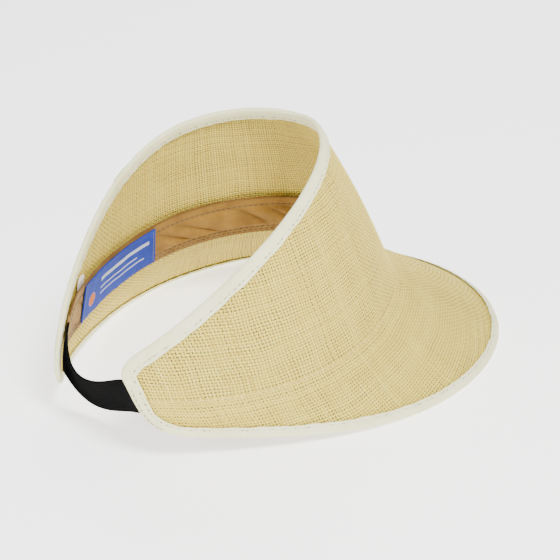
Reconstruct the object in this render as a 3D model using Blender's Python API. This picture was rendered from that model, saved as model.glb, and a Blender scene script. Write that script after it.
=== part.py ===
"""Straw sun visor: a woven shell with a bound edge, a sweatband, its label and tag, and an elastic strap.

Frame: front of the visor towards -Y, the wearer's right towards -X, +Z up, with the visor standing
on the two sides of its brim at z = 0 and the origin at the bottom centre of its box.

The shell is one curved sheet with two coordinates:
  t  runs round the head, 0 at the middle of the forehead, +1 at the right back end, -1 at the left;
  v  runs across the sheet, -1 at the brim's edge, 0 at the crease (the head line), +1 at the rim.
Every other piece lies on this sheet at some distance e along its outward normal.
"""
import bmesh
import bpy
import numpy as np

MM = 0.001
DEG = np.pi / 180

# ---- Head line: the crease between crown wall and brim ----------------------------------------
HALF_WIDTH = 80.4 * MM
EGG = 0.09                      # wider towards the forehead
PINCH = -0.09                   # narrower at both front and back
FRONT_REACH = 100.0 * MM
BACK_REACH = 103.1 * MM
NOSE = 9.5 * MM                 # extra reach on the centre line, front and back
SADDLE = 3.3 * MM               # front and back of the head line up, sides down
PITCH_SET = -10.7 * MM          # forehead down, nape up
REST_TILT = 6.9 * DEG           # the visor stands with its forehead raised by this angle
STAND = 38.55 * MM              # the head line's own origin above the table
ORIGIN_BACK = 40.95 * MM        # from the middle of the head line back to the middle of the box

# ---- Crown wall: height above the crease round the head (cosine terms 0 to 3), lean, belly -----
WALL_HEIGHT = (71.4 * MM, 44.0 * MM, -14.5 * MM, 2.9 * MM)
WALL_LEAN = (21.1 * DEG, 15.5 * DEG, 19.2 * DEG)        # front, side, back, towards the head
WALL_BELLY = 3.8 * MM

# ---- Brim: width below the crease (cosine terms 0 to 3) and droop below level ------------------
BRIM_WIDTH = (46.5 * MM, 34.8 * MM, 6.2 * MM, -2.1 * MM)
BRIM_DROOP = (36.9 * DEG, 56.5 * DEG, 92.4 * DEG)       # front, side, back
CREASE_ROUND = 8.0 * MM

# ---- Where the sheet ends at the back, and how its four corners are rounded --------------------
RIM_END = 159.6 * DEG
BRIM_END = 149.5 * DEG
LEFT_RIM_SHORTER = 11.5 * DEG   # the left rim was cut off this much sooner
TOP_CORNER_T = 0.945            # t where the rim's corners begin
TOP_CORNER_V = 0.47             # the share of the wall's height that a corner takes
LOW_CORNER_T = 0.930
LOW_CORNER_V = 0.60
CORNER_STEPS = 6

# ---- Cloth and straw ---------------------------------------------------------------------------
STRAW_THICK = 1.2 * MM
SEWING_GAP = 0.35 * MM          # air kept between touching layers
EDGE_INSET = 1.35 * MM          # the straw stops this far inside the tape's fold
TAPE_WIDTH = (5.7 * MM, 7.2 * MM)         # each face of the folded tape, on the brim and on the rim
TAPE_THICK = 0.6 * MM
TAPE_JOIN = (-0.64, -0.60)      # t range of the tape's lapped ends on the rim
TAPE_JOIN_EXTRA = 0.5 * MM
TAPE_JOIN_MARGIN = 0.02         # the thread climbs onto the lap this much of t sooner
# Outside of the tape round its fold: distance in from the edge, distance outside the straw's middle
TAPE_FOLD = ((1.2 * MM, 1.45 * MM), (0.1 * MM, 0.6 * MM), (0.0, -0.2 * MM),
             (0.5 * MM, -1.2 * MM), (1.6 * MM, -1.55 * MM))
THREAD = 0.45 * MM              # sewing thread
THREAD_AIR = 0.05 * MM          # extra air under a thread on the tape
BINDING_SEAM_SHARE = 0.75       # the seam's distance from the fold, as a share of the tape's width

BAND_HEIGHT = 31.6 * MM
BAND_THICK = 0.8 * MM
BAND_FOOT = 1.0 * MM            # the band's lower edge above the crease
BAND_END_T = 0.935              # the band stops short of the strap's ends
BAND_STAND_OFF = (1.95 * MM, 2.75 * MM)   # middle of the band from the straw's middle, foot and top
BAND_BELOW_RIM = 12.0 * MM
HEM_SEAM_DROP = 6.0 * MM        # hem seam below the band's top edge
LOWER_SEAMS = (2.6 * MM, 5.2 * MM)        # two rows above the band's foot
BAND_SEAM_SHORT = 0.008         # the band's seams stop this much of t before its ends

LABEL_T = (-0.812, -0.510)
LABEL_HEIGHTS = (4.0 * MM, 30.0 * MM)
LABEL_THICK = 0.5 * MM
LABEL_SEAM_INSET = 1.6 * MM
TAG_T = (-0.840, -0.795)
TAG_HEIGHTS = (27.5 * MM, 36.5 * MM)
TAG_THICK = 0.4 * MM

STRAP_WIDTH = 25.0 * MM
STRAP_THICK = 1.2 * MM
STRAP_LAP = 8.5 * MM            # how far each strap end reaches inside the shell
STRAP_CENTRE = {1: -4.9 * MM, -1: 6.4 * MM}     # its middle on the right and left back edges, from the crease
STRAP_RIGHT_HANDLE = (9.4 * MM, -4.0 * MM, 11.1 * MM)
STRAP_LEFT_HANDLE = (-8.8 * MM, -1.9 * MM, -42.8 * MM)
STRAP_LEAN = 28.7 * DEG         # the top edge leans outwards by this at the middle
TACK_INSET = 2.4 * MM           # the row of stitches that holds each strap end, from the back edge
TACK_REACH = 0.38               # half of that row's length, as a share of the strap's width
TAIL_LENGTH = 7.0 * MM
TAIL_BELOW_STRAP = 1.2 * MM
TAIL_AIM = (0.35, 0.45, -0.55)  # outwards, back and down
TAIL_CURL = 0.25                # how far its tip turns up, as a share of its length

# ---- Colours --------------------------------------------------------------------------------------
STRAW_COLOUR = (0.72, 0.60, 0.36)
TAPE_COLOUR = (0.80, 0.79, 0.62)
CREAM_THREAD_COLOUR = (0.70, 0.68, 0.50)
TACK_COLOUR = (0.66, 0.64, 0.46)
BAND_COLOUR = (0.35, 0.17, 0.04)
BAND_THREAD_COLOUR = (0.25, 0.13, 0.05)
LABEL_COLOUR = (0.016, 0.10, 0.50)
LABEL_THREAD_COLOUR = (0.05, 0.12, 0.40)
TAG_COLOUR = (0.75, 0.66, 0.58)
ELASTIC_COLOUR = (0.008, 0.008, 0.008)
TAIL_COLOUR = (0.01, 0.01, 0.01)

# ---- Mesh fineness -------------------------------------------------------------------------------
SHELL_COLUMNS = 60
BRIM_ROWS = 6
WALL_ROWS = 7
BRIM_EDGE_STATIONS = 62
RIM_STATIONS = 54
END_STATIONS = 4
BAND_COLUMNS = 60
BAND_ROWS = 5
BAND_THREAD_STATIONS = 54
LABEL_GRID = (9, 4)
TAG_GRID = (4, 4)
STRAP_FREE_STATIONS = 20
STRAP_LAP_STATIONS = 4
STRAP_ROWS = 5
SHORT_THREAD_STATIONS = 5
TACK_STATIONS = 7
TAIL_STATIONS = 6
ROW_CROWDING = 1.3              # the shell's rows crowd towards the crease by this power
STRAP_BLEND = 0.3               # share of the strap at each end that keeps to the sewn end's curve
SHARP_ANGLE = 40 * DEG

AROUND = BACK_REACH * 2.6       # rough length along the sheet for one unit of t
FD = 1e-4                       # step for slopes


def by_direction(c, values):
    """A quantity given at the front, side and back of the head, for c = cos(angle from the front)."""
    front, side, back = values
    return side + (front - back) / 2 * c + ((front + back) / 2 - side) * c * c


def cosine_sum(theta, terms):
    return sum(term * np.cos(k * theta) for k, term in enumerate(terms))


def angle_round_head(t, v):
    share = (v + 1) / 2
    shorter = np.where(t < 0, LEFT_RIM_SHORTER, 0.0) * t ** 4
    return t * (BRIM_END + (RIM_END - shorter - BRIM_END) * share)


def sheet(t, v):
    """The middle of the straw sheet at t, v (arrays of one shape), with a last axis of x, y, z."""
    t = np.asarray(t, float)
    v = np.asarray(v, float)
    theta = angle_round_head(t, v)
    c = np.cos(theta)
    s = np.sin(theta)
    reach = np.where(c > 0, FRONT_REACH, BACK_REACH)
    width = HALF_WIDTH * (1 + EGG * c + PINCH * c * c)
    head = np.stack([-width * s, -reach * c - NOSE * c ** 3,
                     SADDLE * np.cos(2 * theta) + PITCH_SET * c ** 3], -1)
    slope_x = -width * c - HALF_WIDTH * s * (-EGG * s - 2 * PINCH * c * s)
    slope_y = reach * s + 3 * NOSE * c * c * s
    out = np.stack([-slope_y, slope_x, np.zeros_like(slope_x)], -1)
    out /= np.linalg.norm(out, axis=-1, keepdims=True)
    up = np.array([0.0, 0.0, 1.0])

    height = cosine_sum(theta, WALL_HEIGHT)
    run = np.where(v > 0, v * height, v * cosine_sum(theta, BRIM_WIDTH))
    soft = np.sqrt(run ** 2 + CREASE_ROUND ** 2)
    wall = (run + soft) / 2
    brim = (soft - run) / 2
    lean = by_direction(c, WALL_LEAN)[..., None]
    droop = by_direction(c, BRIM_DROOP)[..., None]
    share = np.clip(run / height, 0, 1)
    belly = WALL_BELLY * 4 * share * (1 - share) * np.clip(c, 0, 1)
    p = (head + wall[..., None] * (np.cos(lean) * up - np.sin(lean) * out)
         + brim[..., None] * (np.cos(droop) * out - np.sin(droop) * up) + belly[..., None] * out)
    ct = np.cos(REST_TILT)
    st = np.sin(REST_TILT)
    return np.stack([p[..., 0], p[..., 1] * ct + p[..., 2] * st + ORIGIN_BACK,
                     p[..., 2] * ct - p[..., 1] * st + STAND], -1)


def slopes(t, v):
    along = (sheet(t + FD, v) - sheet(t - FD, v)) / (2 * FD)
    across = (sheet(t, v + FD) - sheet(t, v - FD)) / (2 * FD)
    return along, across


def off_sheet(t, v, e):
    """Points at distance e outside the middle of the straw."""
    t, v, e = np.broadcast_arrays(np.asarray(t, float), np.asarray(v, float), np.asarray(e, float))
    along, across = slopes(t, v)
    normal = np.cross(across, along)
    normal /= np.linalg.norm(normal, axis=-1, keepdims=True)
    return sheet(t, v) + normal * e[..., None]


def wall_v(t, height):
    """The v of a point at some height above the crease on the wall at t."""
    t = np.asarray(t, float)
    v = np.full(t.shape, 0.3)
    for _ in range(6):
        v = height / cosine_sum(angle_round_head(t, v), WALL_HEIGHT)
    return v


def rim_v(t):
    u = np.clip((np.abs(t) - TOP_CORNER_T) / (1 - TOP_CORNER_T), 0, 1)
    return 1 - TOP_CORNER_V * (1 - np.sqrt(1 - u * u))


def edge_v(t):
    u = np.clip((np.abs(t) - LOW_CORNER_T) / (1 - LOW_CORNER_T), 0, 1)
    return -1 + LOW_CORNER_V * (1 - np.sqrt(1 - u * u))


def edge_loop():
    """t, v stations once round the whole edge: brim left to right, right end, rim, left end."""
    turn = np.linspace(0, 1, CORNER_STEPS + 1)[1:] * np.pi / 2
    low_t = LOW_CORNER_T + (1 - LOW_CORNER_T) * np.sin(turn)
    top_t = TOP_CORNER_T + (1 - TOP_CORNER_T) * np.sin(turn)
    end_v = np.linspace(edge_v(1.0), rim_v(1.0), END_STATIONS + 2)[1:-1]
    brim_t = np.linspace(-LOW_CORNER_T, LOW_CORNER_T, BRIM_EDGE_STATIONS)
    rim_t = np.linspace(TOP_CORNER_T, -TOP_CORNER_T, RIM_STATIONS)
    right = [(t, edge_v(t)) for t in low_t] + [(1.0, v) for v in end_v]
    right += [(t, rim_v(t)) for t in top_t[::-1]]
    left = [(-t, v) for t, v in right[::-1]]
    loop = [(t, -1.0) for t in brim_t] + right + [(t, 1.0) for t in rim_t] + left
    return np.array(loop).T


def inward(t, v):
    """Unit change of t, v for each metre straight inwards from the edge, square to it."""
    along, across = slopes(t, v)
    here = sheet(t, v)
    tangent = np.roll(here, -1, 0) - np.roll(here, 1, 0)
    tangent /= np.linalg.norm(tangent, axis=-1, keepdims=True)
    normal = np.cross(across, along)
    normal /= np.linalg.norm(normal, axis=-1, keepdims=True)
    square = np.cross(tangent, normal)
    aim = np.array([solve_in_sheet(a, b, m) for a, b, m in zip(along, across, square)])
    towards_middle = aim[:, 0] * (-t) * AROUND + aim[:, 1] * (-v) * BRIM_WIDTH[0]
    return aim * np.sign(towards_middle)[:, None]


def end_run(side):
    """The least length square to a back edge that one unit of t covers there."""
    v = np.linspace(edge_v(1.0), rim_v(1.0), 9)
    along, across = slopes(side * np.ones_like(v), v)
    across /= np.linalg.norm(across, axis=-1, keepdims=True)
    square = along - (along * across).sum(-1, keepdims=True) * across
    return np.linalg.norm(square, axis=-1).min()


def solve_in_sheet(along, across, direction):
    matrix = np.stack([along, across], 1)
    return np.linalg.lstsq(matrix, direction, rcond=None)[0]


# ---- Turning rings and grids of points into closed solids -----------------------------------------
def make_object(name, points, faces, colour, roughness):
    mesh = bpy.data.meshes.new(name)
    mesh.from_pydata([tuple(p) for p in points], [], [tuple(f) for f in faces])
    work = bmesh.new()
    work.from_mesh(mesh)
    bmesh.ops.recalc_face_normals(work, faces=work.faces)
    bmesh.ops.triangulate(work, faces=work.faces)
    if work.calc_volume(signed=True) < 0:
        bmesh.ops.reverse_faces(work, faces=work.faces)
    work.to_mesh(mesh)
    work.free()
    mesh.shade_smooth()
    mesh.set_sharp_from_angle(angle=SHARP_ANGLE)
    mesh.materials.append(plain_material(name, colour, roughness))
    piece = bpy.data.objects.new(name, mesh)
    bpy.context.scene.collection.objects.link(piece)
    return piece


def plain_material(name, colour, roughness):
    material = bpy.data.materials.new(name + "_material")
    material.use_nodes = True
    shader = material.node_tree.nodes["Principled BSDF"]
    shader.inputs["Base Color"].default_value = (*colour, 1.0)
    shader.inputs["Roughness"].default_value = roughness
    shader.inputs["Metallic"].default_value = 0.0
    return material


def sweep(name, rings, closed, colour, roughness):
    """A solid through rings of points, shape (stations, ring, 3), joined end to end or capped."""
    stations, size, _ = rings.shape
    faces = []
    for i in range(stations if closed else stations - 1):
        j = (i + 1) % stations
        for k in range(size):
            m = (k + 1) % size
            faces.append((i * size + k, j * size + k, j * size + m, i * size + m))
    if not closed:
        faces.append(range(size))
        faces.append([(stations - 1) * size + k for k in reversed(range(size))])
    return make_object(name, rings.reshape(-1, 3), faces, colour, roughness)


def slab(name, front, back, colour, roughness):
    """A solid between two grids of points of one shape, (columns, rows, 3)."""
    rings = np.concatenate([front, back[:, ::-1]], 1)
    stations, size, _ = rings.shape
    rows = front.shape[1]
    faces = []
    for i in range(stations - 1):
        for k in range(size):
            m = (k + 1) % size
            faces.append((i * size + k, (i + 1) * size + k, (i + 1) * size + m, i * size + m))
    for i in (0, stations - 1):
        for k in range(rows - 1):
            faces.append((i * size + k, i * size + k + 1, i * size + size - 2 - k, i * size + size - 1 - k))
    return make_object(name, rings.reshape(-1, 3), faces, colour, roughness)


def thread_on(name, t, v, e, closed, colour):
    """A sewing thread with a three-sided section along a line on the sheet."""
    middle = off_sheet(t, v, e)
    outer = off_sheet(t, v, e + THREAD / 2)
    normal = outer - middle
    step = np.gradient(middle, axis=0)
    if closed:
        step = np.roll(middle, -1, 0) - np.roll(middle, 1, 0)
    step /= np.linalg.norm(step, axis=-1, keepdims=True)
    side = np.cross(step, normal)
    ring = [middle + normal * np.cos(a) + side * np.sin(a) for a in np.arange(3) * 2 * np.pi / 3 + np.pi]
    return sweep(name, np.stack(ring, 1), closed, colour, 0.8)


# ---- The pieces ------------------------------------------------------------------------------------
def straw_body():
    turn = np.linspace(0, 1, CORNER_STEPS + 1)[1:] * np.pi / 2
    corner = LOW_CORNER_T + (1 - LOW_CORNER_T) * np.sin(turn)
    middle = np.linspace(-LOW_CORNER_T, LOW_CORNER_T, SHELL_COLUMNS)
    t = np.concatenate([-corner[::-1], middle, corner])
    shrink = np.where(t > 0, 1 - EDGE_INSET / end_run(1), 1 - EDGE_INSET / end_run(-1))
    theta = angle_round_head(t, np.zeros_like(t))
    low = edge_v(t) + EDGE_INSET / cosine_sum(theta, BRIM_WIDTH)
    top = rim_v(t) - EDGE_INSET / cosine_sum(angle_round_head(t, np.ones_like(t)), WALL_HEIGHT)
    brim_share = np.linspace(1, 0, BRIM_ROWS + 1)[:-1] ** ROW_CROWDING
    wall_share = np.linspace(0, 1, WALL_ROWS + 1) ** ROW_CROWDING
    v = np.concatenate([low[:, None] * brim_share, top[:, None] * wall_share], 1)
    tt = np.broadcast_to((t * shrink)[:, None], v.shape)
    half = STRAW_THICK / 2
    return slab("straw_body", off_sheet(tt, v, half), off_sheet(tt, v, -half), STRAW_COLOUR, 0.7)


def tape_width(v):
    return TAPE_WIDTH[0] + (TAPE_WIDTH[1] - TAPE_WIDTH[0]) * (v + 1) / 2


def edge_binding():
    t, v = edge_loop()
    aim = inward(t, v)
    width = tape_width(v)
    inner = STRAW_THICK / 2 + SEWING_GAP
    outer = inner + TAPE_THICK
    fold = EDGE_INSET - SEWING_GAP
    profile = [(width, outer), *TAPE_FOLD, (width, -outer),
               (width, -inner), (fold, -inner), (fold, inner), (width, inner)]
    lapped = (v == 1.0) & (t > TAPE_JOIN[0]) & (t < TAPE_JOIN[1])
    columns = []
    for depth, e in profile:
        extra = TAPE_JOIN_EXTRA if e > inner else 0.0
        columns.append(off_sheet(t + aim[:, 0] * depth, v + aim[:, 1] * depth, e + extra * lapped))
    rings = np.stack(columns, 1)
    rings[..., 2] = np.maximum(rings[..., 2], 0.0)      # the fold is pressed flat where it stands
    return sweep("edge_binding", rings, True, TAPE_COLOUR, 0.85)


def binding_thread(name, side):
    t, v = edge_loop()
    aim = inward(t, v)
    e = side * (STRAW_THICK / 2 + 2 * SEWING_GAP + TAPE_THICK + THREAD / 2 + THREAD_AIR)
    lapped = (v == 1.0) & (t > TAPE_JOIN[0] - TAPE_JOIN_MARGIN) & (t < TAPE_JOIN[1] + TAPE_JOIN_MARGIN)
    e = e + side * TAPE_JOIN_EXTRA * lapped
    inset = BINDING_SEAM_SHARE * tape_width(v)
    return thread_on(name, t + aim[:, 0] * inset, v + aim[:, 1] * inset, e, True, CREAM_THREAD_COLOUR)


def band_offset(height):
    """How far inside the straw's middle the middle of the sweatband stands at a height."""
    share = np.clip(height / BAND_HEIGHT, 0, 1)
    return -(BAND_STAND_OFF[0] + (BAND_STAND_OFF[1] - BAND_STAND_OFF[0]) * share)


def band_top(t):
    rim = cosine_sum(angle_round_head(t, np.ones_like(t)), WALL_HEIGHT)
    return np.minimum(BAND_HEIGHT, rim - BAND_BELOW_RIM)


def sweatband():
    t = np.linspace(-BAND_END_T, BAND_END_T, BAND_COLUMNS)
    top = band_top(t)
    front = []
    back = []
    for share in np.linspace(0, 1, BAND_ROWS):
        height = BAND_FOOT + (top - BAND_FOOT) * share
        e = band_offset(height)
        front.append(off_sheet(t, wall_v(t, height), e + BAND_THICK / 2))
        back.append(off_sheet(t, wall_v(t, height), e - BAND_THICK / 2))
    return slab("sweatband", np.stack(front, 1), np.stack(back, 1), BAND_COLOUR, 0.9)


def band_thread(name, height_at):
    end = BAND_END_T - BAND_SEAM_SHORT
    t = np.linspace(-end, end, BAND_THREAD_STATIONS)
    height = height_at(t)
    e = band_offset(height) - BAND_THICK / 2 - SEWING_GAP - THREAD / 2
    return thread_on(name, t, wall_v(t, height), e, False, BAND_THREAD_COLOUR)


def woven_label():
    t = np.linspace(*LABEL_T, LABEL_GRID[0])[:, None]
    height = np.linspace(*LABEL_HEIGHTS, LABEL_GRID[1])[None, :] * np.ones_like(t)
    t = t * np.ones_like(height)
    near = band_offset(height) - BAND_THICK / 2 - 2 * SEWING_GAP - THREAD
    v = wall_v(t, height)
    return slab("woven_label", off_sheet(t, v, near), off_sheet(t, v, near - LABEL_THICK),
                LABEL_COLOUR, 0.7)


def label_thread(name, t_at):
    height = np.linspace(LABEL_HEIGHTS[0] + LABEL_SEAM_INSET, LABEL_HEIGHTS[1] - LABEL_SEAM_INSET,
                         SHORT_THREAD_STATIONS)
    t = np.full(height.shape, t_at)
    e = band_offset(height) - BAND_THICK / 2 - 3 * SEWING_GAP - 1.5 * THREAD - LABEL_THICK
    return thread_on(name, t, wall_v(t, height), e, False, LABEL_THREAD_COLOUR)


def size_tag():
    t = np.linspace(*TAG_T, TAG_GRID[0])[:, None]
    height = np.linspace(*TAG_HEIGHTS, TAG_GRID[1])[None, :] * np.ones_like(t)
    t = t * np.ones_like(height)
    v = wall_v(t, height)
    e = -(STRAW_THICK / 2 + SEWING_GAP)
    return slab("size_tag", off_sheet(t, v, e), off_sheet(t, v, e - TAG_THICK), TAG_COLOUR, 0.5)


def strap_row_v(side, offsets):
    """The v on a back end for distances from the crease, up positive."""
    t = np.full(offsets.shape, side * 1.0)
    v = np.zeros(offsets.shape)
    for _ in range(6):
        theta = angle_round_head(t, v)
        v = offsets / np.where(offsets > 0, cosine_sum(theta, WALL_HEIGHT), cosine_sum(theta, BRIM_WIDTH))
    return v


def end_t(v):
    """How far round the outline reaches at v: 1 on the straight part of a back end, less in its corners."""
    low = np.clip(1 - (v + 1) / LOW_CORNER_V, 0, 1)
    top = np.clip(1 - (1 - v) / TOP_CORNER_V, 0, 1)
    return np.minimum(LOW_CORNER_T + (1 - LOW_CORNER_T) * np.sqrt(1 - low * low),
                      TOP_CORNER_T + (1 - TOP_CORNER_T) * np.sqrt(1 - top * top))


def strap_offset():
    return -(STRAW_THICK / 2 + 3 * SEWING_GAP + TAPE_THICK + THREAD + STRAP_THICK / 2)


def elastic_strap():
    rows = np.linspace(-0.5, 0.5, STRAP_ROWS)[:, None]
    e = strap_offset()
    ends = {}
    for side in (1, -1):
        v = strap_row_v(side, rows[:, 0] * STRAP_WIDTH + STRAP_CENTRE[side])
        lap = np.linspace(STRAP_LAP, 0, STRAP_LAP_STATIONS) / AROUND
        ends[side] = np.stack([off_sheet(side * (end_t(v) - d), v, e) for d in lap])
    right = ends[1]
    left = ends[-1][::-1]
    start = right[-1].mean(0)
    finish = left[0].mean(0)
    start_width = right[-1, -1] - right[-1, 0]
    finish_width = left[0, -1] - left[0, 0]
    middle_width = np.array([0, np.sin(STRAP_LEAN), np.cos(STRAP_LEAN)]) * STRAP_WIDTH
    free = []
    for u in np.linspace(0, 1, STRAP_FREE_STATIONS + 2)[1:-1]:
        a = start + np.array(STRAP_RIGHT_HANDLE)
        b = finish + np.array(STRAP_LEFT_HANDLE)
        centre = start * (1 - u) ** 3 + 3 * a * u * (1 - u) ** 2 + 3 * b * u * u * (1 - u) + finish * u ** 3
        bend = 4 * u * (1 - u)
        width = (start_width * (1 - u) + finish_width * u) * (1 - bend) + middle_width * bend
        width *= STRAP_WIDTH / np.linalg.norm(width)
        row = centre + rows * width
        ideal_start = start + rows * start_width
        ideal_finish = finish + rows * finish_width
        row += (right[-1] - ideal_start) * max(0.0, 1 - u / STRAP_BLEND) ** 2
        row += (left[0] - ideal_finish) * max(0.0, 1 - (1 - u) / STRAP_BLEND) ** 2
        free.append(row)
    grid = np.concatenate([right, np.array(free), left])
    along = np.gradient(grid, axis=0)
    over = np.gradient(grid, axis=1)
    normal = np.cross(over, along)
    normal /= np.linalg.norm(normal, axis=-1, keepdims=True)
    half = STRAP_THICK / 2
    return slab("elastic_strap", grid + normal * half, grid - normal * half, ELASTIC_COLOUR, 0.75)


def strap_tack(name, side):
    """The row of stitches outside the binding that holds one end of the strap."""
    offsets = np.linspace(-TACK_REACH, TACK_REACH, TACK_STATIONS) * STRAP_WIDTH + STRAP_CENTRE[side]
    v = strap_row_v(side, offsets)
    t = side * (end_t(v) - TACK_INSET / AROUND)
    e = STRAW_THICK / 2 + 2 * SEWING_GAP + TAPE_THICK + THREAD / 2 + THREAD_AIR
    return thread_on(name, t, v, e, False, TACK_COLOUR)


def strap_thread_tail():
    """The loose end of the strap's sewing thread, hanging out below the strap's lower right corner."""
    below = np.array([STRAP_CENTRE[1] - STRAP_WIDTH / 2 - TAIL_BELOW_STRAP])
    start = off_sheet(1.0, strap_row_v(1, below), strap_offset())[0]
    reach = np.linspace(0, 1, TAIL_STATIONS)[:, None]
    middle = start + reach * np.array(TAIL_AIM) * TAIL_LENGTH
    middle[:, 2] += (reach[:, 0] ** 2) * TAIL_CURL * TAIL_LENGTH
    step = np.gradient(middle, axis=0)
    step /= np.linalg.norm(step, axis=-1, keepdims=True)
    side = np.cross(step, np.array([0.0, 0.0, 1.0]))
    side *= THREAD / 2 / np.linalg.norm(side, axis=-1, keepdims=True)
    over = np.cross(side, step)
    ring = [middle + side * np.cos(a) + over * np.sin(a) for a in np.arange(3) * 2 * np.pi / 3]
    return sweep("strap_thread_tail", np.stack(ring, 1), False, TAIL_COLOUR, 0.7)


def main():
    for old in list(bpy.data.objects):
        bpy.data.objects.remove(old, do_unlink=True)
    straw_body()
    edge_binding()
    binding_thread("binding_thread_outer", 1)
    binding_thread("binding_thread_inner", -1)
    sweatband()
    band_thread("hem_thread", lambda t: band_top(t) - HEM_SEAM_DROP)
    for name, rise in zip(("seam_thread_lower", "seam_thread_upper"), LOWER_SEAMS):
        band_thread(name, lambda t, rise=rise: BAND_FOOT + rise + 0 * t)
    woven_label()
    inset = LABEL_SEAM_INSET / AROUND
    label_thread("label_thread_front", LABEL_T[1] - inset)
    label_thread("label_thread_back", LABEL_T[0] + inset)
    size_tag()
    elastic_strap()
    strap_tack("strap_tack_right", 1)
    strap_tack("strap_tack_left", -1)
    strap_thread_tail()


main()
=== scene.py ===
"""Looks of the straw sun visor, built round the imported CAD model.

The CAD model's straw shell is one curved sheet. Its formula is repeated here, in the same frame and
metres, so that every strand, stitch and fold lies where the CAD pieces lie. A point of the sheet has
two coordinates, t round the head (0 forehead, +1 right back end, -1 left) and v across it (-1 brim's
edge, 0 crease, +1 rim), and e is a distance along the outward normal.
"""

import bpy
import numpy as np
from mathutils import Matrix, Vector


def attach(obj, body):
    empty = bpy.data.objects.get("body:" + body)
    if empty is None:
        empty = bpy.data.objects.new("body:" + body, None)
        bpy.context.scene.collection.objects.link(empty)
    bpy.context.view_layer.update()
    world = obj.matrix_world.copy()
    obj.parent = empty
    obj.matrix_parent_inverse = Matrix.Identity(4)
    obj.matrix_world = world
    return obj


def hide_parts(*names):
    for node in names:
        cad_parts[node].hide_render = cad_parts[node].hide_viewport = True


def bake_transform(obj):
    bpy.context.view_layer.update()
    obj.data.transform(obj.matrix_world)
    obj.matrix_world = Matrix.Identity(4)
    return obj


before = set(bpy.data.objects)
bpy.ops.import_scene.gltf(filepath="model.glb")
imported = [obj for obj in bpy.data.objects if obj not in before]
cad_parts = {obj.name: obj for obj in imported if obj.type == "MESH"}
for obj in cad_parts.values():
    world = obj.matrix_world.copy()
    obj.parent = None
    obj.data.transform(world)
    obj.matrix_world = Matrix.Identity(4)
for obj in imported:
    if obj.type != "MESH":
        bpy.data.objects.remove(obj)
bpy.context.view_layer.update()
random = np.random.default_rng(7)

MM = 0.001
DEG = np.pi / 180

# ---- The sheet, as in the CAD model ----
HALF_WIDTH = 80.4 * MM
EGG = 0.09
PINCH = -0.09
FRONT_REACH = 100.0 * MM
BACK_REACH = 103.1 * MM
NOSE = 9.5 * MM
SADDLE = 3.3 * MM
PITCH_SET = -10.7 * MM
REST_TILT = 6.9 * DEG
STAND = 38.55 * MM
ORIGIN_BACK = 40.95 * MM
WALL_HEIGHT = (71.4 * MM, 44.0 * MM, -14.5 * MM, 2.9 * MM)
WALL_LEAN = (21.1 * DEG, 15.5 * DEG, 19.2 * DEG)
WALL_BELLY = 3.8 * MM
BRIM_WIDTH = (46.5 * MM, 34.8 * MM, 6.2 * MM, -2.1 * MM)
BRIM_DROOP = (36.9 * DEG, 56.5 * DEG, 92.4 * DEG)
CREASE_ROUND = 8.0 * MM
RIM_END = 159.6 * DEG
BRIM_END = 149.5 * DEG
LEFT_RIM_SHORTER = 11.5 * DEG
TOP_CORNER_T = 0.945
TOP_CORNER_V = 0.47
LOW_CORNER_T = 0.930
LOW_CORNER_V = 0.60

STRAW_THICK = 1.2 * MM
SEWING_GAP = 0.35 * MM
TAPE_WIDTH = (5.7 * MM, 7.2 * MM)
TAPE_THICK = 0.6 * MM
TAPE_JOIN = (-0.64, -0.60)
TAPE_JOIN_EXTRA = 0.5 * MM
BINDING_SEAM_SHARE = 0.75
THREAD = 0.45 * MM

BAND_HEIGHT = 31.6 * MM
BAND_THICK = 0.8 * MM
BAND_FOOT = 1.0 * MM
BAND_END_T = 0.935
BAND_STAND_OFF = (1.95 * MM, 2.75 * MM)
BAND_BELOW_RIM = 12.0 * MM
HEM_SEAM_DROP = 6.0 * MM
LOWER_SEAMS = (2.6 * MM, 5.2 * MM)
LABEL_T = (-0.812, -0.510)
LABEL_HEIGHTS = (4.0 * MM, 30.0 * MM)
TAG_T = (-0.840, -0.795)
TAG_HEIGHTS = (27.5 * MM, 36.5 * MM)
TAG_THICK = 0.4 * MM
STRAP_WIDTH = 25.0 * MM
STRAP_THICK = 1.2 * MM
STRAP_LAP = 8.5 * MM
STRAP_CENTRE = {1: -4.9 * MM, -1: 6.4 * MM}
STRAP_RIGHT_HANDLE = (9.4 * MM, -4.0 * MM, 11.1 * MM)
STRAP_LEFT_HANDLE = (-8.8 * MM, -1.9 * MM, -42.8 * MM)
STRAP_LEAN = 28.7 * DEG
TACK_INSET = 2.4 * MM
TAIL_LENGTH = 7.0 * MM
TAIL_STATION = 25
AROUND = BACK_REACH * 2.6
FD = 1e-4

# ---- Fineness and texture of the cloth and straw ----
ROW_PITCH = 1.65 * MM           # strands that run round the head
RIB_PITCH = 1.75 * MM           # strands that run from rim to brim, at the crease
BRIM_RIB_PITCH = 1.55 * MM      # closer at the crease, because they spread towards the brim's edge
STRAND_FILL = 0.925             # strand width as a share of the pitch
STRAND_LIFT = 0.22 * MM
STRAND_HALF_THICK = 0.17 * MM
WALL_ROW_COUNT = 63
BRIM_ROW_COUNT = 52
FIRST_WALL_ROW = 0.48           # the rows beside the crease start this far from it, in pitches
FIRST_BRIM_ROW = 0.86
LOW_WALL_ROWS = 24              # rows in the lower of the wall's two pieces
INNER_BRIM_ROWS = 14
WIDEST_WALL_RIB = 1.75 * MM
WIDEST_BRIM_RIB = 1.9 * MM
TWINE_LAY = 3.4 * MM            # length of one turn of the crease's twined strands
TWINE_SWAY = 0.28 * MM
TWINE_RISE = 0.14 * MM
TWINE_WIDTH = 0.85 * MM
STITCH_SHARE = 0.66             # stitch length as a share of the spacing
STITCH_SINK = 0.22 * MM         # how far a stitch's ends dip
TUBE_SIDES = 6
STITCH_PITCH = 3.2 * MM
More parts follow.
